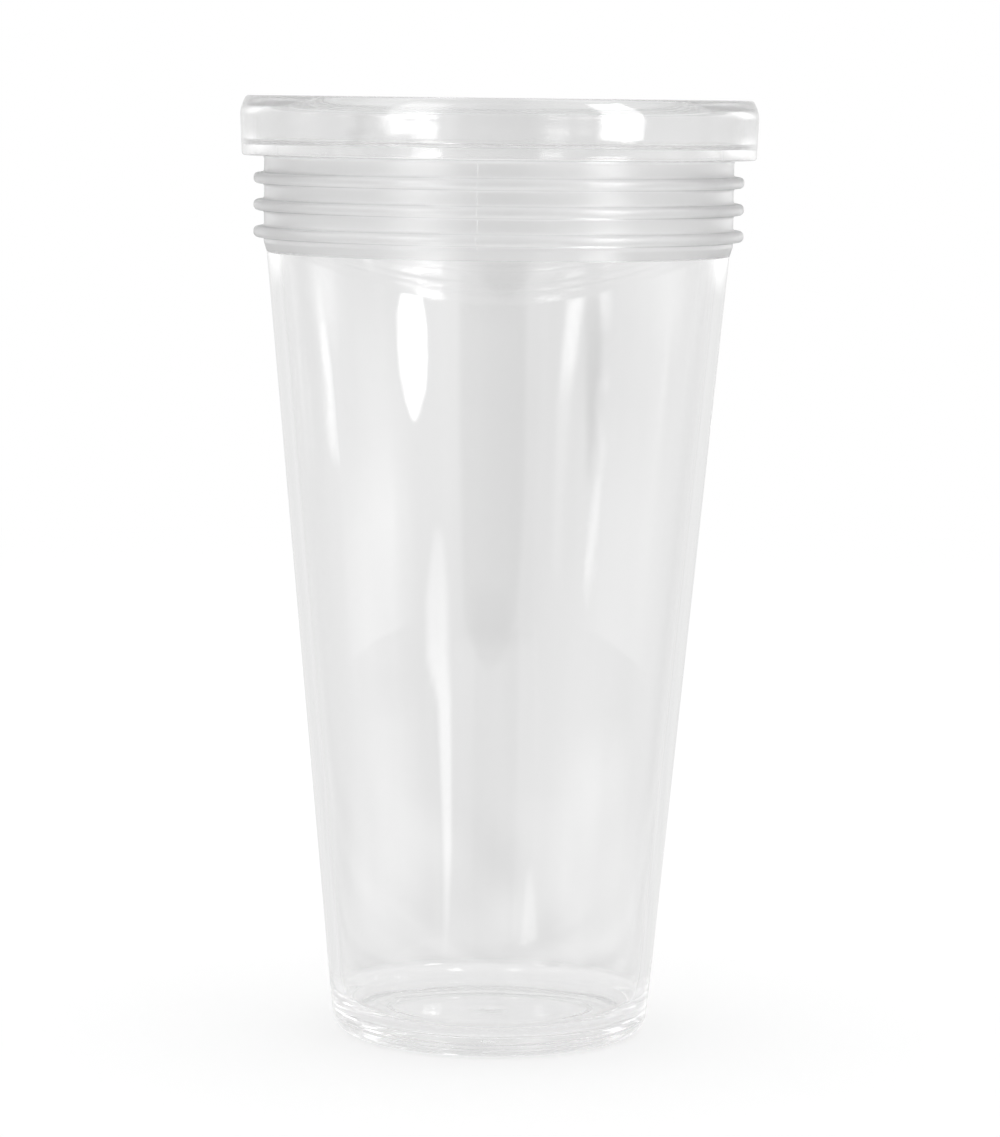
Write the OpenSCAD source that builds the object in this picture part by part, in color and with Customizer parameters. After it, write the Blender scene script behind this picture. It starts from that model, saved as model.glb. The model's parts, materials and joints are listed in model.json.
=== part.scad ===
// Inner cup of a take-apart double-wall tumbler: one clear injection moulding.
// Millimetres, +Z up, origin at the middle of the plane that the foot stands on.
// The diameters build on each other: rim, then neck, then body, each by the step between them.

/* [Cup] */
// Height from the foot to the rim
cup_height = 182; // [165:1:200]
// Outside diameter of the collar at the rim
collar_d = 100; // [92:0.2:110]
// Outside diameter that the taper comes to at the foot plane, before its corner is rounded
body_foot_d = 61.2; // [54:0.2:74]
// Thickness of the tapered wall, measured square to it
wall = 2.3; // [1.6:0.1:3.2]
// Thickness of the floor above the recess
floor_thickness = 2.3; // [1.6:0.1:4]
// Radius of the corner between the wall and the floor, inside
inner_corner = 6; // [1:0.1:8]
// Radius of the corner between the wall and the foot, outside
outer_corner = 4; // [1:0.1:5]

/* [Collar] */
// Height of the collar's outside
collar_height = 11.4; // [9:0.1:16]
// Thickness of the collar's wall round the lid's seat, at the rim
collar_wall = 3; // [2.4:0.1:3.6]
// How far the rim opens out at its top, to lead the lid in
seat_lead = 0.5; // [0.2:0.1:0.8]
// How far down from the rim it does so
seat_lead_height = 2.6; // [1:0.1:4]
// Radius of the corner between the lid's seat and its ledge
ledge_fillet = 1.2; // [0.3:0.1:2]
// Thickness of the ledge that the lid sits on
ledge_thickness = 2.8; // [1.8:0.1:4]
// How far the collar stands out past the neck, at the rim
collar_overhang = 4.7; // [3.6:0.1:6]
// How much smaller in diameter the collar is at its lower edge
collar_draft = 0.8; // [0:0.1:1.2]
// How far the collar leans in to the rim at its outer edge
rim_bevel = 1.2; // [0.4:0.1:1.4]
// How far down from the rim it begins to
rim_bevel_height = 2.4; // [1:0.1:3]
// Radius of the round where it begins to
rim_shoulder_round = 6; // [1:0.5:8]
// Radius of the rim's outer edge
rim_outer_round = 1.2; // [0.4:0.1:1.6]
// Radius of the rim's inner edge
rim_inner_round = 0.6; // [0.2:0.1:0.8]

/* [Neck] */
// How far the neck stands out past the top of the body
neck_step = 0.6; // [0.3:0.1:2]
// Thickness of the neck's wall under the ledge
neck_wall = 2.3; // [1.6:0.1:3.2]
// Height of the slope from the neck's lower edge in to the body
neck_slope = 1.8; // [1:0.1:6]
// Number of ridges round the neck
ridge_count = 3; // [1:1:5]
// Plain height of neck between the collar and the first ridge
neck_head = 3.15; // [1:0.05:8]
// Plain height of neck between two ridges
ridge_gap = 2.75; // [1.2:0.05:6]
// Plain height of neck under the last ridge
neck_tail = 0.8; // [0.6:0.1:8]
// Height of a ridge at its root
ridge_width = 2.4; // [1.6:0.1:3]
// How far a ridge stands out of the neck
ridge_reach = 2; // [0.8:0.1:2.4]
// How much lower a ridge is at its crest than at its root
ridge_taper = 0.5; // [0:0.1:0.8]

/* [Foot] */
// Width of the foot, from the recess out to the line of the taper
foot_width = 10.1; // [7:0.1:14]
// Depth of the recess inside the foot
recess_depth = 1.2; // [0.6:0.1:3]
// How much smaller in diameter the recess is at its top
recess_draft = 1.6; // [0:0.1:4]
// Diameter of the gate mark in the middle of the recess
gate_d = 2.6; // [1.5:0.1:5]
// Height of the gate mark
gate_height = 0.4; // [0.2:0.1:0.5]

/* [Edges] */
// Radius of the small moulded edges on the collar, the ledge and the foot
edge_round = 0.5; // [0.2:0.1:0.8]
// Radius of the inside corner under the collar
neck_fillet = 0.8; // [0.2:0.1:1.4]
// Radius of a ridge's crest edges
crest_round = 0.9; // [0.2:0.05:0.9]
// Radius at a ridge's root
root_round = 0.5; // [0.1:0.05:0.6]
// Radius of the soft bends between neck and body
bend_round = 1.2; // [0.5:0.1:5]

/* [Hidden] */

// degrees of turn for each straight step of a rounded edge
arc_step = 9;

collar_r = collar_d / 2;
collar_low_r = (collar_d - collar_draft) / 2;
seat_r = collar_r - collar_wall;
neck_r = collar_r - collar_overhang;
neck_in_r = neck_r - neck_wall;
body_top_r = neck_r - neck_step;
body_foot_r = body_foot_d / 2;
foot_in_r = body_foot_r - foot_width;
recess_r = foot_in_r - recess_draft / 2;
gate_r = gate_d / 2;

underside_z = cup_height - collar_height;
ledge_z = underside_z + ledge_thickness;
ridge_pitch = ridge_width + ridge_gap;
neck_low_z = ridge_z(ridge_count - 1) - ridge_width / 2 - neck_tail;
body_top_z = neck_low_z - neck_slope;
floor_z = recess_depth + floor_thickness;

// the wall's lean from upright, and its thickness measured level
taper = atan((body_top_r - body_foot_r) / body_top_z);
level_wall = wall / cos(taper);

// inside radius of the tapered wall at height z
function inside_r(z) = body_foot_r + z * tan(taper) - level_wall;

// height of the middle of a ridge, the first being the one next to the collar
function ridge_z(i) = underside_z - neck_head - ridge_width / 2 - i * ridge_pitch;

function unit(v) = v / norm(v);
function turned(v, a) = [v[0] * cos(a) - v[1] * sin(a), v[0] * sin(a) + v[1] * cos(a)];

// the part of the side between two rounded corners that the first may take
function side_share(from, to) = 0.98 * norm(at(to) - at(from)) * from[2] / (from[2] + to[2]);
function at(corner) = [corner[0], corner[1]];

// points of the arc that rounds one corner, held back where its sides are too short for the radius
function corner_arc(before, corner, after) =
    let (
        back = unit(at(before) - at(corner)),
        ahead = unit(at(after) - at(corner)),
        half = acos(back * ahead) / 2,
        room = min(side_share(corner, before), side_share(corner, after)),
        reach = min(corner[2] / tan(half), room),
        centre = at(corner) + unit(back + ahead) * (reach / cos(half)),
        start = at(corner) + back * reach - centre,
        sweep = (180 - 2 * half) * sign(cross(ahead, back)),
        steps = max(1, ceil(abs(sweep) / arc_step))
    )
    [for (i = [0:steps]) centre + turned(start, sweep * i / steps)];

// an outline of [r, z, radius] corners with each corner rounded
function rounded(outline) =
    let (n = len(outline))
    [
        for (i = [0:n - 1])
            each outline[i][2] > 0
                ? corner_arc(outline[(i + n - 1) % n], outline[i], outline[(i + 1) % n])
                : [at(outline[i])]
    ];

// corners of one ridge, from its lower root to its upper root
function ridge_corners(z) =
    let (root = ridge_width / 2, crest = (ridge_width - ridge_taper) / 2, out = neck_r + ridge_reach)
    [
        [neck_r, z - root, root_round],
        [out, z - crest, crest_round],
        [out, z + crest, crest_round],
        [neck_r, z + root, root_round]
    ];

// from the middle of the recess out to the foot and its outer corner
function foot_corners() = [
    [0, recess_depth - gate_height, 0],
    [gate_r, recess_depth - gate_height, gate_height / 3],
    [gate_r, recess_depth, gate_height / 3],
    [recess_r, recess_depth, edge_round],
    [foot_in_r, 0, edge_round],
    [body_foot_r, 0, outer_corner]
];

// up the outside, from the top of the taper to the rim's outer edge
function outside_corners() = [
    [body_top_r, body_top_z, bend_round],
    [neck_r, neck_low_z, bend_round],
    for (i = [ridge_count - 1:-1:0]) each ridge_corners(ridge_z(i)),
    [neck_r, underside_z, neck_fillet],
    [collar_low_r, underside_z, edge_round],
    [collar_r, cup_height - rim_bevel_height, rim_shoulder_round],
    [collar_r - rim_bevel, cup_height, rim_outer_round]
];

// down the inside, from the rim's inner edge to the middle of the floor
function inside_corners() = [
    [seat_r + seat_lead, cup_height, rim_inner_round],
    [seat_r, cup_height - seat_lead_height, rim_inner_round],
    [seat_r, ledge_z, ledge_fillet],
    [neck_in_r, ledge_z, edge_round],
    [inside_r(body_top_z), body_top_z, bend_round],
    [inside_r(floor_z), floor_z, inner_corner],
    [0, floor_z, 0]
];

module cup() {
    color([0.87, 0.88, 0.88, 0.55])
        rotate_extrude($fn = 180)
            polygon(rounded(concat(foot_corners(), outside_corners(), inside_corners())));
}

cup();
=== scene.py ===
"""Dresses the inner cup of a take-apart insulated tumbler: one clear moulded shell in a plain studio."""

import json
import math

import bpy
import numpy as np
from mathutils import Matrix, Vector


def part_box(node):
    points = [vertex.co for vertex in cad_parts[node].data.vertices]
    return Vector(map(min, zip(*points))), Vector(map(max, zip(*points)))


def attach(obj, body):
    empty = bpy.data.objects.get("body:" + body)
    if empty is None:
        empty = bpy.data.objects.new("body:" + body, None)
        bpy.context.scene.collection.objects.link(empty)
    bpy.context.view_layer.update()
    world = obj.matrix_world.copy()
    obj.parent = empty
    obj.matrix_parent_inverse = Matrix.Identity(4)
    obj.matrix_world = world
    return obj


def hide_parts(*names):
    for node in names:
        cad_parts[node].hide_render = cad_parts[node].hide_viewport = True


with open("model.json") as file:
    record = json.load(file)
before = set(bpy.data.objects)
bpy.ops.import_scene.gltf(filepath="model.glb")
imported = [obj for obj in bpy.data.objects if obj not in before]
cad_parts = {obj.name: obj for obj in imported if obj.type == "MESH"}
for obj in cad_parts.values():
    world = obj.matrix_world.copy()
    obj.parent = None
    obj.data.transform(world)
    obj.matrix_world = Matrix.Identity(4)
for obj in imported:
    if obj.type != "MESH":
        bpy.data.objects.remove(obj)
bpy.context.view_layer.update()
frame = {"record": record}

bl_info = {
    "name": "Clear Tumbler Cup",
    "version": (1, 0, 0),
    "blender": (4, 5, 0),
    "location": "View3D > Sidebar > Cup",
    "description": "Builds a clear moulded cup and the studio it stands in",
    "category": "Add Mesh",
}

MM = 0.001

# Part of the side between two rounded corners that both rounds together may take.
SIDE_SHARE = 0.98

# Slow waves of the moulded wall: turns round the cup, turns up it, phase and share. One turn up is
# WAVE_HEIGHT times 2 pi, and the inside's waves are turned by INSIDE_PHASE from the outside's.
WALL_WAVES = [(2, 2.1, 0.4, 0.5), (3, -3.7, 1.9, 0.3), (5, 6.1, 3.3, 0.2)]
WAVE_HEIGHT = 60 * MM
INSIDE_PHASE = 2.4
# Heights above the foot over which the waves begin, and depths below the neck over which they end.
WAVES_BEGIN = (8 * MM, 30 * MM)
WAVES_END = (14 * MM, 4 * MM)
# The mesh's columns over a parting line: how many, and over how many of its half widths each way.
SEAM_COLUMNS = 13
SEAM_REACH = 3
# How far inside the neck's radius still counts as its outside.
NECK_SLACK = 0.1 * MM

# Where the plastic's zones meet: half width of the line under the neck, reach of the line under the
# collar down and up, and half width of the line between the wall's outside and inside.
NECK_LINE = 0.2 * MM
COLLAR_LINE = (0.3 * MM, 0.9 * MM)
MIDDLE_LINE = 0.3 * MM
# The darker zone round the foot: heights over which it ends, and radii over which it begins.
FOOT_HEIGHTS = (12 * MM, 5 * MM)
FOOT_RADII = (19 * MM, 25 * MM)
# Values of the wear's noise between which the surface goes from new to worn.
WORN = (0.45, 0.8)


def mount(name):
    """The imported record's mount of this name."""
    return next(m for m in frame["record"]["mounts"] if m["name"] == name)


CUP_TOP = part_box("cup")[1][2]
SEAT_R = mount("lid_seat")["dims"]["r_mm"] * MM
UNDERSIDE_Z = mount("shell_stop")["pos_m"][2]


def length(name, description, default):
    """A size that a user can change, in scene units."""
    return bpy.props.FloatProperty(
        name=name, description=description, default=default, unit="LENGTH", precision=5
    )


def angle(name, description, degrees):
    """An angle that a user can change."""
    return bpy.props.FloatProperty(
        name=name, description=description, default=math.radians(degrees), subtype="ANGLE"
    )


def share(name, description, default):
    """A plain number that a user can change."""
    return bpy.props.FloatProperty(name=name, description=description, default=default, precision=4)


class CupForm(bpy.types.PropertyGroup):
    """Sizes of the moulded shell, in metres."""

    height: length("Height", "From the foot to the rim", CUP_TOP)
    collar_r: length("Collar radius", "Outside of the collar at the rim", 50 * MM)
    collar_draft: length("Collar draft", "How far the collar leans in at its lower edge", 0.4 * MM)
    underside_z: length("Collar underside", "Height of the collar's underside", UNDERSIDE_Z)
    seat_r: length("Seat radius", "Inside of the collar, where the lid sits", SEAT_R)
    seat_lead: length("Seat lead", "How far the rim opens out to lead the lid in", 0.5 * MM)
    seat_lead_h: length("Seat lead height", "How far down from the rim it does so", 2.6 * MM)
    ledge_t: length("Ledge thickness", "Thickness of the ledge under the lid", 2.8 * MM)
    ledge_fillet: length("Ledge fillet", "Radius between the lid's seat and its ledge", 0.5 * MM)
    rim_bevel: length("Rim bevel", "How far the rim leans in at its outer edge", 1.2 * MM)
    rim_bevel_h: length("Rim bevel height", "How far down from the rim it does so", 2.4 * MM)
    rim_outer: length("Rim outer round", "Radius of the rim's outer edge", 1.2 * MM)
    rim_shoulder: length("Rim shoulder", "Radius under the rim's bevel", 6 * MM)
    rim_inner: length("Rim inner round", "Radius of the rim's inner edge", 0.6 * MM)
    neck_r: length("Neck radius", "Outside of the neck between its ridges", 45.3 * MM)
    neck_wall: length("Neck wall", "Thickness of the neck under the ledge", 2.3 * MM)
    neck_head: length("Neck head", "Plain neck above the first ridge", 3.15 * MM)
    neck_tail: length("Neck tail", "Plain neck under the last ridge", 0.8 * MM)
    neck_slope: length("Neck slope", "Height of the slope in to the body", 1.8 * MM)
    neck_step: length("Neck step", "How far the neck stands out past the body", 0.6 * MM)
    ridge_w: length("Ridge width", "Height of a ridge at its root", 2.4 * MM)
    ridge_gap: length("Ridge gap", "Plain neck between two ridges", 2.75 * MM)
    ridge_reach: length("Ridge reach", "How far a ridge stands out", 2 * MM)
    ridge_taper: length("Ridge taper", "How much lower a ridge is at its crest", 0.5 * MM)
    ridges: bpy.props.IntProperty(name="Ridges", description="Ridges round the neck", default=3)
    body_foot_r: length("Body radius at the foot", "Where the taper meets the foot plane", 30.6 * MM)
    wall: length("Wall", "Thickness of the tapered wall", 2.3 * MM)
    floor_t: length("Floor", "Thickness of the floor", 2.3 * MM)
    inner_corner: length("Inner corner", "Radius between wall and floor, inside", 6 * MM)
    outer_corner: length("Outer corner", "Radius between wall and foot, outside", 4 * MM)
    foot_w: length("Foot width", "From the recess to the line of the taper", 10.1 * MM)
    recess: length("Recess", "Depth of the recess inside the foot", 1.2 * MM)
    recess_draft: length("Recess draft", "How far the recess leans in", 0.8 * MM)
    gate_r: length("Gate radius", "Radius of the gate mark in the recess", 1.3 * MM)
    gate_h: length("Gate height", "Height of the gate mark", 0.4 * MM)
    edge: length("Edge", "Radius of the small moulded edges", 0.5 * MM)
    neck_fillet: length("Neck fillet", "Radius under the collar", 0.8 * MM)
    crest: length("Crest", "Radius of a ridge's crest edges", 0.9 * MM)
    root: length("Root", "Radius at a ridge's root", 0.5 * MM)
    bend: length("Bend", "Radius of the soft bends between neck and body", 1.2 * MM)
    wave: length("Wave", "How far the moulded wall strays from a true cone", 0.01 * MM)
    seam_angle: angle("Seam angle", "Where the mould's parting line crosses the neck", -95)
    seam_h: length("Seam height", "How far the parting line stands proud", 0.06 * MM)
    seam_w: length("Seam width", "Half width of the parting line", 0.12 * MM)
    columns: bpy.props.IntProperty(name="Columns", description="Mesh columns round the cup", default=216)
    corner_steps: bpy.props.IntProperty(name="Corner steps", description="Points on a round", default=8)
    longest: length("Longest stretch", "Longest straight step up the wall", 4 * MM)


class PlasticFinish(bpy.types.PropertyGroup):
    """The clear plastic."""

    ior: share("Refraction", "How strongly the plastic bends light", 1.55)
    body_tint: share("Body tint", "Part of the light that one wall of the body lets by", 0.97)
    neck_tint: share("Neck tint", "Part of the light that the neck's wall lets by", 0.95)
    collar_tint: share("Collar tint", "Part of the light that the collar's wall lets by", 0.94)
    # The plastic is made darker low round the foot: its tint there is multiplied by 1 minus this.
    foot_darkening: share("Foot loss", "Part of the light that the thick plastic round the foot takes", 0.07)
    gloss: share("Gloss", "Roughness of the polished plastic", 0.015)
    wear: share("Wear", "Roughness added where the cup is handled", 0.03)
    wear_scale: share("Wear scale", "How close the worn places lie, per metre", 38.0)
    neck_haze: share("Neck haze", "Roughness added on the neck's outside", 0.3)
    collar_haze: share("Collar haze", "Roughness added on the collar", 0.05)
    ripple: length("Ripple", "Depth of the fine ripple in the surface", 0.006 * MM)
    ripple_scale: share("Ripple scale", "How close the ripples lie, per metre", 140.0)


class StudioSetup(bpy.types.PropertyGroup):
    """Camera, floor and the room that the cup mirrors."""

    eye_distance: length("Eye distance", "Camera to the cup's axis", 856 * MM)
    eye_side: length("Eye offset", "Camera to the right of the axis", 1.07 * MM)
    eye_height: length("Eye height", "Camera above the floor", 182 * MM)
    pitch: angle("Pitch", "How far the camera looks down", 6.08)
    roll: angle("Roll", "How far the camera is turned about its view", 0.675)
    focal_px: share("Focal length in pixels", "Focal length for a picture 1137 pixels high", 4418)
    floor_gap: length("Floor gap", "How far the floor lies below the foot", 0.15 * MM)
    floor_flat: length("Flat floor", "Radius of the flat floor", 1400 * MM)
    cove_r: length("Cove radius", "Radius of the bend up to the wall", 800 * MM)
    cove_top: length("Wall height", "Height of the pale wall", 2400 * MM)
    panel_step: length("Panel step", "How much farther out each next panel stands", 1.5 * MM)
    white: share("White", "Brightness of the pale surroundings", 1.0)
    floor_white: share("Floor white", "Light that the floor adds to what falls on it", 0.62)
    floor_grey: share("Floor grey", "How pale the floor's matt colour is", 0.42)
    floor_near: length("Floor fade start", "Where the floor begins to turn into the pale wall", 250 * MM)
    floor_far: length("Floor fade end", "Where the floor has turned into the pale wall", 1000 * MM)
    # Painted light: the floor glows brighter in a pool under and just round the cup's foot, at full
    # strength out to the first radius below and gone by the second.
    under_cup_painted_light: share("Under the cup", "Light that the floor adds besides under the cup", 0.15)
    painted_pool_full_to: length("Under cup start", "How far out that light keeps its strength", 22 * MM)
    painted_pool_gone_at: length("Under cup end", "Where that light has gone", 34 * MM)
    room_grey: share("Room grey", "Brightness of the room that the cup mirrors and bends", 0.84)
    room_mottle: share("Room mottle", "How uneven the room's brightness is", 0.07)
    room_r: length("Room radius", "Radius of the room's wall", 300 * MM)
    room_h: length("Room height", "Height of the room's ceiling", 420 * MM)
    room_lift: length("Room lift", "How far the room's floor lies above the true one", 0.3 * MM)
    room_inner: length("Room edge", "Where the grey of the room begins on the floor", 42 * MM)


def unit(v):
    """Rows of v at length 1."""
    return v / np.maximum(np.linalg.norm(v, axis=-1, keepdims=True), 1e-12)


def rounded(corners, steps):
    """Rounds an outline of (r, z, radius) corners.

    Each corner becomes an arc that touches both its sides: the arc's centre lies on the corner's
    bisector at reach / cos(half angle), where reach = radius / tan(half angle), held to the part of
    each side that is its own. Two corners share the side between them as their radii are. A corner
    of radius 0 stays one point.
    """
    at, radius = corners[:, :2], corners[:, 2]
    back, ahead = np.roll(at, 1, 0) - at, np.roll(at, -1, 0) - at
    both = np.maximum(radius + np.roll(radius, -1), 1e-9)
    room_ahead = SIDE_SHARE * np.linalg.norm(ahead, axis=1) * radius / both
    room_back = SIDE_SHARE * np.linalg.norm(back, axis=1) * radius / np.roll(both, 1)
    back, ahead = unit(back), unit(ahead)
    half = np.arccos(np.clip((back * ahead).sum(1), -1, 1)) / 2
    reach = np.minimum(radius / np.tan(half), np.minimum(room_ahead, room_back))
    centre = at + unit(back + ahead) * (reach / np.cos(half))[:, None]
    start = at + back * reach[:, None] - centre
    turn = (np.pi - 2 * half) * np.sign(ahead[:, 0] * back[:, 1] - ahead[:, 1] * back[:, 0])
    a = turn[:, None] * np.linspace(0, 1, steps)
    arc = np.stack(
        [
            start[:, :1] * np.cos(a) - start[:, 1:] * np.sin(a),
            start[:, :1] * np.sin(a) + start[:, 1:] * np.cos(a),
        ],
        -1,
    )
    points = centre[:, None] + arc
    keep = np.ones(points.shape[:2], bool)
    sharp = radius <= 0
    points[sharp, 0] = at[sharp]
    keep[sharp, 1:] = False
    return points[keep]


def filled(points, longest):
    """Cuts each stretch of an open outline that is longer than longest into equal steps."""
    step = np.diff(points, axis=0)
    parts = np.maximum(np.ceil(np.linalg.norm(step, axis=1) / longest), 1).astype(int)
    first = np.repeat(np.arange(len(parts)), parts)
    done = np.arange(parts.sum()) - np.repeat(np.cumsum(parts) - parts, parts)
    inner = points[first] + step[first] * (done / parts[first])[:, None]
    return np.vstack([inner, points[-1:]])


def smooth(x, low, high):
    """0 below low and 1 above high, with the smooth cubic 3t^2 - 2t^3 between."""
    t = np.clip((x - low) / (high - low), 0, 1)
    return t * t * (3 - 2 * t)


def new_mesh(name, vertices, faces, material):
    """Puts arrays of vertices and faces into a smoothly shaded mesh object at the origin."""
    mesh = bpy.data.meshes.new(name)
    mesh.from_pydata(vertices.tolist(), [], [f for block in faces for f in block.tolist()])
    mesh.validate()
    mesh.shade_smooth()
    mesh.materials.append(material)
    piece = bpy.data.objects.new(name, mesh)
    bpy.context.scene.collection.objects.link(piece)
    return piece


def revolved(r, z, angles):
    """A surface of revolution with closed poles.

    r and z are grids of profile point by angle, and the first and last profile points lie on the
    axis. Vertex (i, j) is (r cos a_j, r sin a_j, z). Returns the vertices and the faces, outwards
    when the profile runs from the lower pole up the outside.
    """
    rows, cols = r.shape
    ring = np.stack([r * np.cos(angles), r * np.sin(angles), z], -1)[1:-1].reshape(-1, 3)
    poles = np.array([[0, 0, z[0, 0]], [0, 0, z[-1, 0]]])
    vertices = np.vstack([ring, poles])
    j = np.arange(cols)
    k = (j + 1) % cols
    i = np.arange(rows - 3)[:, None] * cols
    quads = np.stack([i + j, i + k, i + cols + k, i + cols + j], -1).reshape(-1, 4)
    low, high = len(ring), len(ring) + 1
    last = (rows - 3) * cols
    bottom = np.stack([np.full(cols, low), k, j], -1)
    top = np.stack([np.full(cols, high), last + j, last + k], -1)
    return vertices, [quads, bottom, top]


def cup_corners(form):
    """Corners (r, z, radius) of the cup's section, from the foot up the outside and down the inside."""
    body_top_r = form.neck_r - form.neck_step
    pitch = form.ridge_w + form.ridge_gap
    first = form.underside_z - form.neck_head - form.ridge_w / 2
    neck_low = first - (form.ridges - 1) * pitch - form.ridge_w / 2 - form.neck_tail
    body_top = neck_low - form.neck_slope
    lean = (body_top_r - form.body_foot_r) / body_top
    level_wall = form.wall * math.hypot(1, lean)
    floor_z = form.recess + form.floor_t
    ledge_z = form.underside_z + form.ledge_t

    def inside(z):
        return form.body_foot_r + lean * z - level_wall

    foot_in = form.body_foot_r - form.foot_w
    foot = [
        (0, form.recess - form.gate_h, 0),
        (form.gate_r, form.recess - form.gate_h, form.gate_h / 3),
        (form.gate_r, form.recess, form.gate_h / 3),
        (foot_in - form.recess_draft, form.recess, form.edge),
        (foot_in, 0, form.edge),
        (form.body_foot_r, 0, form.outer_corner),
        (body_top_r, body_top, form.bend),
        (form.neck_r, neck_low, form.bend),
    ]
    out = form.neck_r + form.ridge_reach
    root = form.ridge_w / 2
    crest = (form.ridge_w - form.ridge_taper) / 2
    ridges = [
        corner
        for z in first - pitch * np.arange(form.ridges - 1, -1, -1)
        for corner in (
            (form.neck_r, z - root, form.root),
            (out, z - crest, form.crest),
            (out, z + crest, form.crest),
            (form.neck_r, z + root, form.root),
        )
    ]
    collar = [
        (form.neck_r, form.underside_z, form.neck_fillet),
        (form.collar_r - form.collar_draft, form.underside_z, form.edge),
        (form.collar_r, form.height - form.rim_bevel_h, form.rim_shoulder),
        (form.collar_r - form.rim_bevel, form.height, form.rim_outer),
        (form.seat_r + form.seat_lead, form.height, form.rim_inner),
        (form.seat_r, form.height - form.seat_lead_h, form.rim_inner),
        (form.seat_r, ledge_z, form.ledge_fillet),
        (form.neck_r - form.neck_wall, ledge_z, form.edge),
    ]
    inner = [
        (inside(body_top), body_top, form.bend),
        (inside(floor_z), floor_z, form.inner_corner),
        (0, floor_z, 0),
    ]
    return np.array(foot + ridges + collar + inner, float), neck_low, body_top


def slow_waves(waves, turn, way):
    """A sum of sines: each wave's share times the sine of its turns, way and phase added up."""
    return sum(part * np.sin(m * turn + n * way + phase) for m, n, phase, part in waves)


def cup_angles(form):
    """Even columns round the cup, with closer ones on both of the mould's parting lines."""
    even = np.linspace(0, 2 * np.pi, form.columns, endpoint=False)
    near = np.linspace(-SEAM_REACH, SEAM_REACH, SEAM_COLUMNS) * form.seam_w / form.neck_r
    seams = np.concatenate([form.seam_angle + near, form.seam_angle + np.pi + near]) % (2 * np.pi)
    clear = np.abs((even[:, None] - seams + np.pi) % (2 * np.pi) - np.pi).min(1) > near[1] - near[0]
    return np.sort(np.concatenate([even[clear], seams]))


def cup_surface(form):
    """The cup's section carried round the axis.

    The radius strays by wave times the slow waves of WALL_WAVES on the tapered wall, outside and
    inside in different phases. On the neck's outside it gains seam_h times a bell curve of the
    distance from the parting line.
    """
    corners, neck_low, _ = cup_corners(form)
    points = filled(rounded(corners, form.corner_steps), form.longest)
    r0, z0 = points[:, :1], points[:, 1:]
    top = int(np.argmax(points[:, 1]))
    outside = (np.arange(len(points)) <= top)[:, None]
    angles = cup_angles(form)[None, :]
    ends, ended = neck_low - WAVES_END[0], neck_low - WAVES_END[1]
    fade = smooth(z0, *WAVES_BEGIN) * (1 - smooth(z0, ends, ended))
    wave = slow_waves(WALL_WAVES, angles + np.where(outside, 0.0, INSIDE_PHASE), z0 / WAVE_HEIGHT)
    r = r0 + form.wave * fade * wave
    away = np.abs((angles - form.seam_angle + np.pi / 2) % np.pi - np.pi / 2) * form.neck_r
    on_neck = outside & (z0 > neck_low) & (z0 < form.underside_z) & (r0 > form.neck_r - NECK_SLACK)
    r = r + on_neck * form.seam_h * np.exp(-((away / form.seam_w) ** 2))
    return r, np.broadcast_to(z0, r.shape), angles[0]


def node(tree, kind, place, **values):
    """Adds a node, sets its inputs by name and returns it."""
    n = tree.nodes.new(kind)
    n.location = place
    for name, value in values.items():
        n.inputs[name.replace("_", " ")].default_value = value
    return n


def ramp(tree, value, low, high, place):
    """A straight ramp from 0 at low to 1 at high of another node's value."""
    n = node(tree, "ShaderNodeMapRange", place)
    n.inputs["From Min"].default_value = low
    n.inputs["From Max"].default_value = high
    tree.links.new(value, n.inputs["Value"])
    return n.outputs["Result"]


def maths(tree, kind, a, b, place):
    """One sum of two values, each a number or another node's output."""
    n = tree.nodes.new("ShaderNodeMath")
    n.operation = kind
    n.location = place
    for socket, value in zip(n.inputs, (a, b)):
        if isinstance(value, (int, float)):
            socket.default_value = value
        else:
            tree.links.new(value, socket)
    return n.outputs[0]


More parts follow.
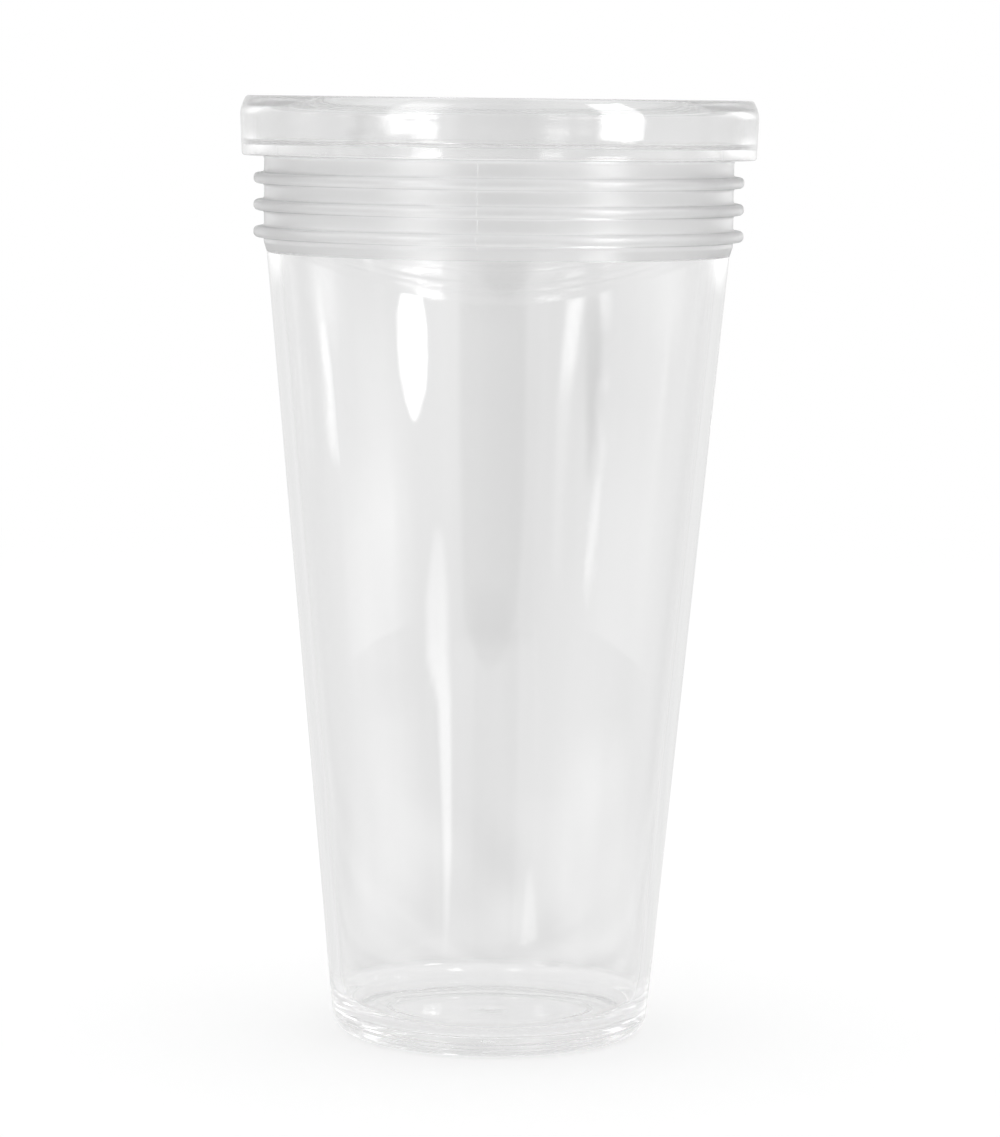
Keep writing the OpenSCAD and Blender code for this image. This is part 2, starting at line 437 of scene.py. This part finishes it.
def clear_plastic(finish, neck_low, neck_high, neck_middle):
    """Clear moulded plastic: polished and colourless on the body, hazy on the neck's outside.

    The neck begins with a sharp line at neck_low and ends at neck_high, where the collar begins, and
    its outside lies beyond the radius neck_middle. Tint and roughness are the body's, plus the neck's
    and the collar's own steps times those zones. Low down and away from the axis, round the foot, the
    tint is made darker by foot_darkening.
    """
    material = bpy.data.materials.new("clear_plastic")
    material.use_nodes = True
    tree = material.node_tree
    tree.nodes.clear()
    place = node(tree, "ShaderNodeTexCoord", (-1500, 0)).outputs["Object"]
    split = tree.nodes.new("ShaderNodeSeparateXYZ")
    split.location = (-1300, 250)
    tree.links.new(place, split.inputs[0])
    z = split.outputs["Z"]
    above_body = ramp(tree, z, neck_low - NECK_LINE, neck_low + NECK_LINE, (-1100, 350))
    collar = ramp(tree, z, neck_high - COLLAR_LINE[0], neck_high + COLLAR_LINE[1], (-1100, 100))
    neck = maths(tree, "SUBTRACT", above_body, collar, (-900, 250))

    def zoned(body, at_neck, at_collar, y):
        """One value for the body, one for the neck and one for the collar."""
        on_neck = maths(tree, "MULTIPLY_ADD", neck, at_neck - body, (-650, y))
        on_neck.node.inputs[2].default_value = body
        on_collar = maths(tree, "MULTIPLY_ADD", collar, at_collar - body, (-450, y))
        tree.links.new(on_neck, on_collar.node.inputs[2])
        return on_collar

    tint = zoned(finish.body_tint, finish.neck_tint, finish.collar_tint, 350)
    level = tree.nodes.new("ShaderNodeVectorMath")
    level.operation = "MULTIPLY"
    level.location = (-1300, 0)
    level.inputs[1].default_value = (1.0, 1.0, 0.0)
    tree.links.new(place, level.inputs[0])
    away = tree.nodes.new("ShaderNodeVectorMath")
    away.operation = "LENGTH"
    away.location = (-1100, -100)
    tree.links.new(level.outputs["Vector"], away.inputs[0])
    r = away.outputs["Value"]
    outside = ramp(tree, r, neck_middle - MIDDLE_LINE, neck_middle + MIDDLE_LINE, (-900, 50))
    low = ramp(tree, z, *FOOT_HEIGHTS, (-900, 650))
    wide = ramp(tree, r, *FOOT_RADII, (-900, 500))
    foot = maths(tree, "MULTIPLY", low, wide, (-650, 600))
    kept = maths(tree, "MULTIPLY_ADD", foot, -finish.foot_darkening, (-450, 600))
    kept.node.inputs[2].default_value = 1.0
    tint = maths(tree, "MULTIPLY", tint, kept, (-300, 450))
    haze = zoned(0.0, finish.neck_haze, finish.collar_haze, 100)
    haze = maths(tree, "MULTIPLY", haze, outside, (-300, 100))
    wear = node(
        tree, "ShaderNodeTexNoise", (-900, -150), Scale=finish.wear_scale, Detail=2.0, Roughness=0.6
    )
    tree.links.new(place, wear.inputs["Vector"])
    worn = ramp(tree, wear.outputs["Fac"], *WORN, (-650, -150))
    rough = maths(tree, "MULTIPLY_ADD", worn, finish.wear, (-450, -150))
    rough.node.inputs[2].default_value = finish.gloss
    rough = maths(tree, "ADD", rough, haze, (-250, -50))
    ripple = node(tree, "ShaderNodeTexNoise", (-650, -420), Scale=finish.ripple_scale, Detail=1.0)
    tree.links.new(place, ripple.inputs["Vector"])
    bump = node(tree, "ShaderNodeBump", (-250, -300), Strength=1.0, Distance=finish.ripple)
    tree.links.new(ripple.outputs["Fac"], bump.inputs["Height"])
    grey = tree.nodes.new("ShaderNodeCombineColor")
    grey.location = (-200, 350)
    for socket in grey.inputs:
        tree.links.new(tint, socket)
    shader = node(tree, "ShaderNodeBsdfPrincipled", (0, 0), IOR=finish.ior, Transmission_Weight=1.0)
    tree.links.new(grey.outputs["Color"], shader.inputs["Base Color"])
    tree.links.new(rough, shader.inputs["Roughness"])
    tree.links.new(bump.outputs["Normal"], shader.inputs["Normal"])
    out = node(tree, "ShaderNodeOutputMaterial", (300, 0))
    tree.links.new(shader.outputs["BSDF"], out.inputs["Surface"])
    return material


def panel_finish(name, strength, toned=False):
    """Light of one strength, seen only as far as the piece's own attribute says."""
    material = bpy.data.materials.new(name)
    material.use_nodes = True
    material.cycles.emission_sampling = "NONE"
    tree = material.node_tree
    tree.nodes.clear()
    seen = node(tree, "ShaderNodeAttribute", (-300, 150))
    seen.attribute_name = "seen"
    clear = node(tree, "ShaderNodeBsdfTransparent", (-300, -50))
    light = node(tree, "ShaderNodeEmission", (-300, -200), Strength=strength)
    if toned:
        tone = node(tree, "ShaderNodeAttribute", (-500, -200))
        tone.attribute_name = "tone"
        tree.links.new(tone.outputs["Fac"], light.inputs["Color"])
    mix = node(tree, "ShaderNodeMixShader", (0, 0))
    tree.links.new(seen.outputs["Fac"], mix.inputs[0])
    tree.links.new(clear.outputs[0], mix.inputs[1])
    tree.links.new(light.outputs[0], mix.inputs[2])
    out = node(tree, "ShaderNodeOutputMaterial", (200, 0))
    tree.links.new(mix.outputs[0], out.inputs["Surface"])
    return material


def floor_finish(studio):
    """Pale floor that turns, away from the cup, into an evenly lit pale wall, with a painted pool of
    light under the cup.
    """
    material = bpy.data.materials.new("pale_cove")
    material.use_nodes = True
    material.cycles.emission_sampling = "NONE"
    tree = material.node_tree
    tree.nodes.clear()
    place = node(tree, "ShaderNodeTexCoord", (-900, 0))
    distance = tree.nodes.new("ShaderNodeVectorMath")
    distance.operation = "LENGTH"
    tree.links.new(place.outputs["Object"], distance.inputs[0])
    blend = node(tree, "ShaderNodeMapRange", (-500, 0))
    blend.interpolation_type = "SMOOTHSTEP"
    blend.inputs["From Min"].default_value = studio.floor_near
    blend.inputs["From Max"].default_value = studio.floor_far
    tree.links.new(distance.outputs["Value"], blend.inputs["Value"])
    grey = studio.floor_grey
    matt = node(tree, "ShaderNodeBsdfDiffuse", (-250, 200), Color=(grey, grey, grey, 1.0))
    # Painted light: a brighter pool of glow on the floor under the cup's foot.
    under = node(tree, "ShaderNodeMapRange", (-500, 250))
    under.interpolation_type = "SMOOTHSTEP"
    under.inputs["From Min"].default_value = studio.painted_pool_full_to
    under.inputs["From Max"].default_value = studio.painted_pool_gone_at
    under.inputs["To Min"].default_value = studio.floor_white + studio.under_cup_painted_light
    under.inputs["To Max"].default_value = studio.floor_white
    tree.links.new(distance.outputs["Value"], under.inputs["Value"])
    fill = node(tree, "ShaderNodeEmission", (-250, 50))
    tree.links.new(under.outputs["Result"], fill.inputs["Strength"])
    both = tree.nodes.new("ShaderNodeAddShader")
    tree.links.new(matt.outputs["BSDF"], both.inputs[0])
    tree.links.new(fill.outputs["Emission"], both.inputs[1])
    wall = node(tree, "ShaderNodeEmission", (-250, -150), Strength=studio.white)
    mix = tree.nodes.new("ShaderNodeMixShader")
    tree.links.new(blend.outputs["Result"], mix.inputs["Fac"])
    tree.links.new(both.outputs["Shader"], mix.inputs[1])
    tree.links.new(wall.outputs["Emission"], mix.inputs[2])
    out = node(tree, "ShaderNodeOutputMaterial", (300, 0))
    tree.links.new(mix.outputs["Shader"], out.inputs["Surface"])
    return material


def bowl(name, r, z, cols, material):
    """A bowl seen from inside: the outline r, z carried round the axis, with its middle closed."""
    angles = np.linspace(0, 2 * np.pi, cols, endpoint=False)
    r_out, z_out = r[1:, None], np.repeat(z[1:, None], cols, 1)
    ring = np.stack([r_out * np.cos(angles), r_out * np.sin(angles), z_out], -1)
    vertices = np.vstack([ring.reshape(-1, 3), [[0, 0, z[0]]]])
    j = np.arange(cols)
    k = (j + 1) % cols
    i = np.arange(len(r) - 2)[:, None] * cols
    quads = np.stack([i + j, i + cols + j, i + cols + k, i + k], -1).reshape(-1, 4)
    middle = np.stack([np.full(cols, len(vertices) - 1), j, k], -1)
    return new_mesh(name, vertices, [quads, middle], material)


# Rings on the cove's flat floor, on its bend and on its wall, and its columns.
COVE_RINGS = (30, 40, 8)
COVE_COLUMNS = 96


def cove(studio):
    """The floor and the wall behind it: a flat disc, a quarter circle of radius cove_r up from it,
    and an upright wall."""
    flat = np.linspace(0, studio.floor_flat, COVE_RINGS[0])
    a = np.linspace(0, np.pi / 2, COVE_RINGS[1])[1:]
    wall = np.linspace(studio.cove_r, studio.cove_top, COVE_RINGS[2])[1:]
    r = np.concatenate([flat, studio.floor_flat + studio.cove_r * np.sin(a)])
    z = np.concatenate([0 * flat, studio.cove_r * (1 - np.cos(a))])
    r = np.concatenate([r, np.full(len(wall), r[-1])])
    z = np.concatenate([z, wall]) - studio.floor_gap
    return bowl("pale_cove", r, z, COVE_COLUMNS, floor_finish(studio))


# Waves of the room's soft unevenness: turns round the axis, turns outwards, phase and share.
MOTTLE = [
    (19, 3.1, 0.4, 0.3),
    (27, -5.3, 2.2, 0.25),
    (36, 2.3, 1.1, 0.2),
    (14, 7.4, 4.0, 0.25),
    (45, -9.1, 5.2, 0.15),
]
# Rings on the room's floor, on the plain upper part of its wall and on its ceiling, the height below
# which its wall has a ring at each millimetre, and its columns.
ROOM_RINGS = (60, 40, 16)
ROOM_FINE = 240
ROOM_COLUMNS = 720
# The room's floor begins at the first of these shares of room_inner and is all seen at the second.
ROOM_START = 0.4
ROOM_SEEN = 1.3


def soft_cover(rows, soft, height, angles):
    """How much of each point a soft-edged patch covers.

    Its middle, half width and seen part run straight from one row of its list to the next. Across
    its width the seen part falls off over the soft share as the smooth cubic, and beyond its first
    and last rows there is nothing.
    """
    rows = np.array(rows, float)
    middle, half, seen = (np.interp(height, rows[:, 0], column) for column in rows[:, 1:].T)
    seen = seen * ((height >= rows[0, 0]) & (height <= rows[-1, 0]))
    away = np.abs((angles - middle + 180) % 360 - 180)
    return seen * smooth(1 - away / half, 0, soft)


def grey_room(studio):
    """The room that only the cup shows: a floor just above the true one, a wall and a ceiling.

    The outline is a flat disc out to room_r, an upright wall and a flat ceiling. Its tone is
    room_grey times 1 + room_mottle times a sum of slow waves in the angle and in the logarithm of
    the way outwards. Each light of ROOM_LIGHTS then takes its covered share of the tone, the first
    one last. The room is clear round the foot, where the true floor shows.
    """
    flat = np.geomspace(ROOM_START * studio.room_inner, studio.room_r, ROOM_RINGS[0])
    fine, plain = np.arange(1, ROOM_FINE) * MM, np.linspace(ROOM_FINE * MM, studio.room_h, ROOM_RINGS[1])
    wall = np.concatenate([fine, plain])
    over = np.linspace(studio.room_r, MM, ROOM_RINGS[2])[1:]
    r = np.concatenate([[0], flat, np.full(len(wall), studio.room_r), over])
    z = np.concatenate([[0], 0 * flat, wall, np.full(len(over), studio.room_h)]) + studio.room_lift
    room = bowl("grey_room", r, z, ROOM_COLUMNS, panel_finish("grey_room", 1.0, toned=True))
    ceiling = studio.room_h + studio.room_r - over
    height = np.concatenate([flat - studio.room_r, wall, ceiling])[:, None] / MM
    turn = np.linspace(0, 2 * np.pi, ROOM_COLUMNS, endpoint=False)[None, :]
    out = np.concatenate([flat, studio.room_r + wall, studio.room_r + ceiling])[:, None]
    wave = slow_waves(MOTTLE, turn, np.log(out / studio.room_inner))
    tone = studio.room_grey * (1 + studio.room_mottle * wave)
    for soft, strength, rows in reversed(ROOM_LIGHTS.values()):
        cover = soft_cover(rows, soft, height, np.degrees(turn) + 90)
        tone = tone * (1 - cover) + strength * cover
    seen = smooth(out, studio.room_inner, ROOM_SEEN * studio.room_inner)
    seen = np.broadcast_to(seen, tone.shape)
    store(room, "tone", np.append(tone.ravel(), 1.0))
    store(room, "seen", np.append(seen.ravel(), 0.0))
    only_in_cup(room)
    return room


# The lights and dark places on the room's wall. Each has the share of its width that is soft and its
# brightness, and then its rows from the lowest up: height in mm, middle in degrees from the camera's
# side to the right, half width in degrees, and how much of it is seen. A height below 0 is on the
# floor, that far in from the wall.
ROOM_LIGHTS = {
    "right_window": (0.12, 7.0, [
        (150, 53, 1.5, 1), (152.5, 53, 4.5, 1), (159.5, 52.5, 8.6, 1), (168.5, 52.4, 10, 1),
        (176.5, 52.4, 9.8, 1), (183.5, 52, 7.6, 1), (187.5, 51.6, 5, 1), (190, 51.5, 1.5, 1)]),
    "left_window": (0.7, 4.0, [
        (103, -42.4, 4.6, 0), (112, -42.2, 4.6, 0.08), (129, -41.2, 5.2, 0.12), (143, -41.8, 5.8, 0.16),
        (157, -42.5, 6.4, 0.24), (168, -44.5, 7.0, 0.8), (184, -47, 7.6, 0.9), (190, -47, 8.6, 0.5),
        (196, -47, 8.6, 0.3), (204, -47, 8.6, 0.3)]),
    "top_glint": (0.2, 3.0, [(190, 37.3, 12, 0), (191.5, 37.3, 12, 0.6), (199, 37.3, 12, 0.6)]),
    "long_strip": (0.6, 2.8, [
        (-222, -25.8, 1.6, 0), (-200, -26, 2.2, 0.3), (-155, -26, 3.4, 0.8), (-122, -26.8, 4, 0.9),
        (-94, -27.3, 4.6, 0.9), (-50, -28, 5.2, 0.9), (-17, -32, 8.6, 0.8), (10, -31.8, 8.6, 0.6),
        (24, -30.6, 4.4, 0.4), (30, -30.6, 2.5, 0)]),
    "far_left_strip": (0.4, 3.6, [
        (114, 117, 1.5, 0), (119, 117.5, 2.4, 0.6), (144, 121, 3.6, 0.8), (157, 124.5, 3.6, 1),
        (164, 125.5, 2, 0.4)]),
    "far_right_strip": (0.6, 2.6, [
        (98, -62, 2, 0), (105, -65, 3, 0.8), (118, -67.5, 3, 0.6), (137, -71, 3, 0.4),
        (153, -64, 3, 0.2)]),
    "right_strip": (0.5, 2.4, [(170, -67, 4, 0), (176, -67, 4.4, 0.6), (192, -64.4, 4.6, 0.9)]),
    "soft_left": (0.8, 2.0, [
        (85, 70, 22, 0), (115, 72, 25, 0.35), (150, 74, 25, 0.3), (175, 76, 22, 0)]),
    "soft_low": (0.8, 2.0, [(6, 75, 30, 0.3), (40, 75, 30, 0.3), (70, 75, 28, 0)]),
    "soft_low_right": (0.8, 2.0, [(6, -68, 30, 0.35), (35, -68, 28, 0.35), (60, -68, 22, 0)]),
    "pale_left": (0.9, 1.0, [
        (20, 189, 4.5, 0), (34, 189, 4.6, 0.35), (76, 188.2, 4.4, 0.4), (118, 188, 4, 0.2),
        (135, 188, 4, 0)]),
    "pale_low_left": (0.9, 1.0, [
        (-240, 198, 12, 0), (-209, 198.5, 10.5, 0.3), (-100, 192, 8, 0.4), (17, 188.7, 5, 0.4),
        (30, 188.7, 5, 0)]),
    "pale_low_right": (0.9, 1.0, [
        (-240, 157, 16, 0), (-215, 157, 14, 0.3), (-97, 167.5, 8.5, 0.4), (5, 171, 6, 0.4),
        (20, 171, 6, 0)]),
    "dark_wedge": (0.5, 0.0, [
        (128, -61, 1, 0), (140, -61.5, 3.4, 0.7), (155, -61, 6, 1), (178, -60, 8, 1),
        (190, -60, 8, 0)]),
    "wedge_behind": (0.5, 0.6, [
        (80, 173.9, 0.3, 0), (85, 173.9, 0.4, 0.2), (98, 173.9, 0.7, 0.3), (109, 173.8, 0.9, 0.3),
        (119, 173.7, 1, 0.2), (126, 173.7, 1, 0)]),
    "near_stripe": (0.2, 0.0, [
        (-22, -2, 14, 0), (-8, -2, 16.5, 0.3), (48, -1.6, 18.6, 0.3), (95, -2.5, 17, 0.4)]),
    "dark_blob": (0.6, 0.0, [
        (84, 3, 3, 0.2), (89, 3, 12, 0.9), (97, 3, 18, 1), (104, 3, 18, 0.6), (110, 3, 18, 0)]),
    "dark_stripe": (0.25, 0.0, [
        (86, 3, 4, 0.5), (92, 3, 14, 0.6), (100, 2.5, 20, 0.45), (130, 1.5, 23.3, 0.45),
        (160, 2.5, 23.2, 0.5), (205, 3, 22.5, 0.5)]),
    "dim_middle": (0.35, 0.2, [
        (-2, 0, 27, 0.4), (60, 1.5, 24.5, 0.4), (90, 1.5, 23, 0.1), (95, 1.5, 23, 0)]),
    "stripe_behind": (0.8, 0.6, [
        (36, 180, 1.6, 0), (42, 180, 2.6, 0.04), (120, 180, 2.8, 0.04), (128, 180.3, 2.6, 0.15),
        (150, 180.3, 2.6, 0.2)]),
}

# Lights of the same kind that hang between the room's wall and the cup: first their way from the axis
# in mm, then as above.
NEAR_LIGHTS = {
    "right_collar_window": (120, 0.1, 7.0, [(168.2, 44.5, 8.6, 1), (262, 44.5, 8.6, 1)]),
    "left_collar_window": (120, 0.5, 4.5, [
        (175.6, -31, 8, 0), (177, -32, 11, 0.7), (181, -33, 10, 1), (186, -33, 9, 0.7),
        (215, -32, 11, 0.9), (250, -30, 11, 1), (280, -30, 10, 0)]),
    "neck_glow_right": (120, 1.0, 1.9, [
        (136, 130, 20, 0), (150, 130, 26, 0.8), (163, 130, 26, 0.8), (176, 130, 20, 0)]),
    "neck_glow_left": (120, 1.0, 1.5, [
        (136, -130, 20, 0), (150, -130, 26, 0.8), (163, -130, 26, 0.8), (176, -130, 20, 0)]),
    "shade": (120, 0.3, 0.84, [
        (126, 110, 7, 0), (130, 110, 7, 1), (180, 110, 7, 1), (184, 110, 7, 0)]),
}

# Rows and columns of points of each of these lights.
NEAR_ROWS, NEAR_COLUMNS = 61, 41


def near_light(name, order, studio):
    """An upright curved panel round the cup's axis that only the cup mirrors.

    Its grid follows its middle and half width, and what is seen of it is as soft_cover says.
    """
    distance, soft, strength, rows = NEAR_LIGHTS[name]
    rows = np.array(rows, float)
    z = np.linspace(rows[0, 0], rows[-1, 0], NEAR_ROWS)[:, None]
    middle, half = (np.interp(z, rows[:, 0], column) for column in rows[:, 1:3].T)
    a = middle + half * np.linspace(-1, 1, NEAR_COLUMNS)[None, :]
    d = distance * MM + order * studio.panel_step
    grid = np.stack([d * np.sin(np.radians(a)), -d * np.cos(np.radians(a)), z * MM + 0 * a], -1)
    i, j = np.meshgrid(np.arange(NEAR_ROWS - 1), np.arange(NEAR_COLUMNS - 1), indexing="ij")
    first = (i * NEAR_COLUMNS + j).ravel()
    quads = np.stack([first, first + NEAR_COLUMNS, first + NEAR_COLUMNS + 1, first + 1], -1)
    piece = new_mesh(name, grid.reshape(-1, 3), [quads], panel_finish(name, strength))
    store(piece, "seen", soft_cover(rows, soft, z, a))
    only_in_cup(piece)
    return piece


def only_in_cup(piece):
    """Shows a stage piece only to light that the cup has mirrored or bent."""
    piece.visible_camera = False
    piece.visible_diffuse = False
    piece.visible_shadow = False


def store(piece, name, values):
    """Gives each vertex of a piece one number of an attribute."""
    layer = piece.data.attributes.new(name, "FLOAT", "POINT")
    layer.data.foreach_set("value", np.ascontiguousarray(values, np.float32).ravel())


# The camera's sensor width in mm, the height in pixels of the picture that focal_px is given for, and
# the nearest and farthest that the camera sees.
SENSOR_W = 36.0
PICTURE_H = 1137
CLIP = (0.05, 30.0)


def stage_camera(studio):
    """The camera, level with the rim and a long way off, turned a little about its view."""
    data = bpy.data.cameras.new("studio_camera")
    data.sensor_width = SENSOR_W
    data.lens = studio.focal_px * data.sensor_width / PICTURE_H
    data.clip_start, data.clip_end = CLIP
    camera = bpy.data.objects.new("studio_camera", data)
    turn = Matrix.Rotation(math.pi / 2 - studio.pitch, 4, "X") @ Matrix.Rotation(studio.roll, 4, "Z")
    eye = Matrix.Translation((studio.eye_side, -studio.eye_distance, studio.eye_height))
    camera.matrix_world = eye @ turn
    bpy.context.scene.collection.objects.link(camera)
    bpy.context.scene.camera = camera


class CUP_OT_shell(bpy.types.Operator):
    """Builds the clear cup and puts it in place of the plain one."""

    bl_idname = "cup.shell"
    bl_label = "Cup Shell"

    def execute(self, context):
        form, finish = context.scene.cup_form, context.scene.cup_finish
        r, z, angles = cup_surface(form)
        vertices, faces = revolved(r, z, angles)
        body_top = cup_corners(form)[2]
        shell = new_mesh(
            "cup_shell",
            vertices,
            faces,
            clear_plastic(finish, body_top, form.underside_z, form.neck_r - form.neck_wall / 2),
        )
        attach(shell, "root")
        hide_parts("cup")
        return {"FINISHED"}


class CUP_OT_studio(bpy.types.Operator):
    """Sets up the pale floor, the room and lights that only the cup mirrors, and the camera."""

    bl_idname = "cup.studio"
    bl_label = "Studio"

    def execute(self, context):
        studio = context.scene.cup_studio
        world = bpy.data.worlds.new("studio_world")
        world.use_nodes = True
        background = world.node_tree.nodes["Background"]
        background.inputs["Color"].default_value = (1, 1, 1, 1)
        background.inputs["Strength"].default_value = studio.white
        world.cycles.sampling_method = "NONE"
        context.scene.world = world
        context.scene.view_settings.view_transform = "Standard"
        # Light runs a long way between the clear walls, and black lines show where it is cut off.
        bounces = context.scene.cycles
        bounces.max_bounces = 320
        bounces.transmission_bounces = 128
        bounces.glossy_bounces = 256
        bounces.transparent_max_bounces = 32
        near = [near_light(name, i, studio) for i, name in enumerate(NEAR_LIGHTS)]
        cove(studio)
        grey_room(studio)
        stage_camera(studio)
        return {"FINISHED"}


class CUP_PT_panel(bpy.types.Panel):
    """Lists the cup's steps in the sidebar."""

    bl_label = "Cup"
    bl_space_type = "VIEW_3D"
    bl_region_type = "UI"
    bl_category = "Cup"

    def draw(self, context):
        for step in STEPS:
            self.layout.operator(step.bl_idname)


STEPS = (CUP_OT_studio, CUP_OT_shell)
CLASSES = (CupForm, PlasticFinish, StudioSetup, *STEPS, CUP_PT_panel)
GROUPS = {"cup_form": CupForm, "cup_finish": PlasticFinish, "cup_studio": StudioSetup}


def register():
    """Registers the classes and gives the scene its settings."""
    for cls in CLASSES:
        bpy.utils.register_class(cls)
    for name, group in GROUPS.items():
        setattr(bpy.types.Scene, name, bpy.props.PointerProperty(type=group))


def unregister():
    """Takes the settings and the classes away again."""
    for name in GROUPS:
        delattr(bpy.types.Scene, name)
    for cls in reversed(CLASSES):
        bpy.utils.unregister_class(cls)


def main():
    register()
    bpy.ops.cup.studio()
    bpy.ops.cup.shell()


if __name__ == "__main__":
    main()
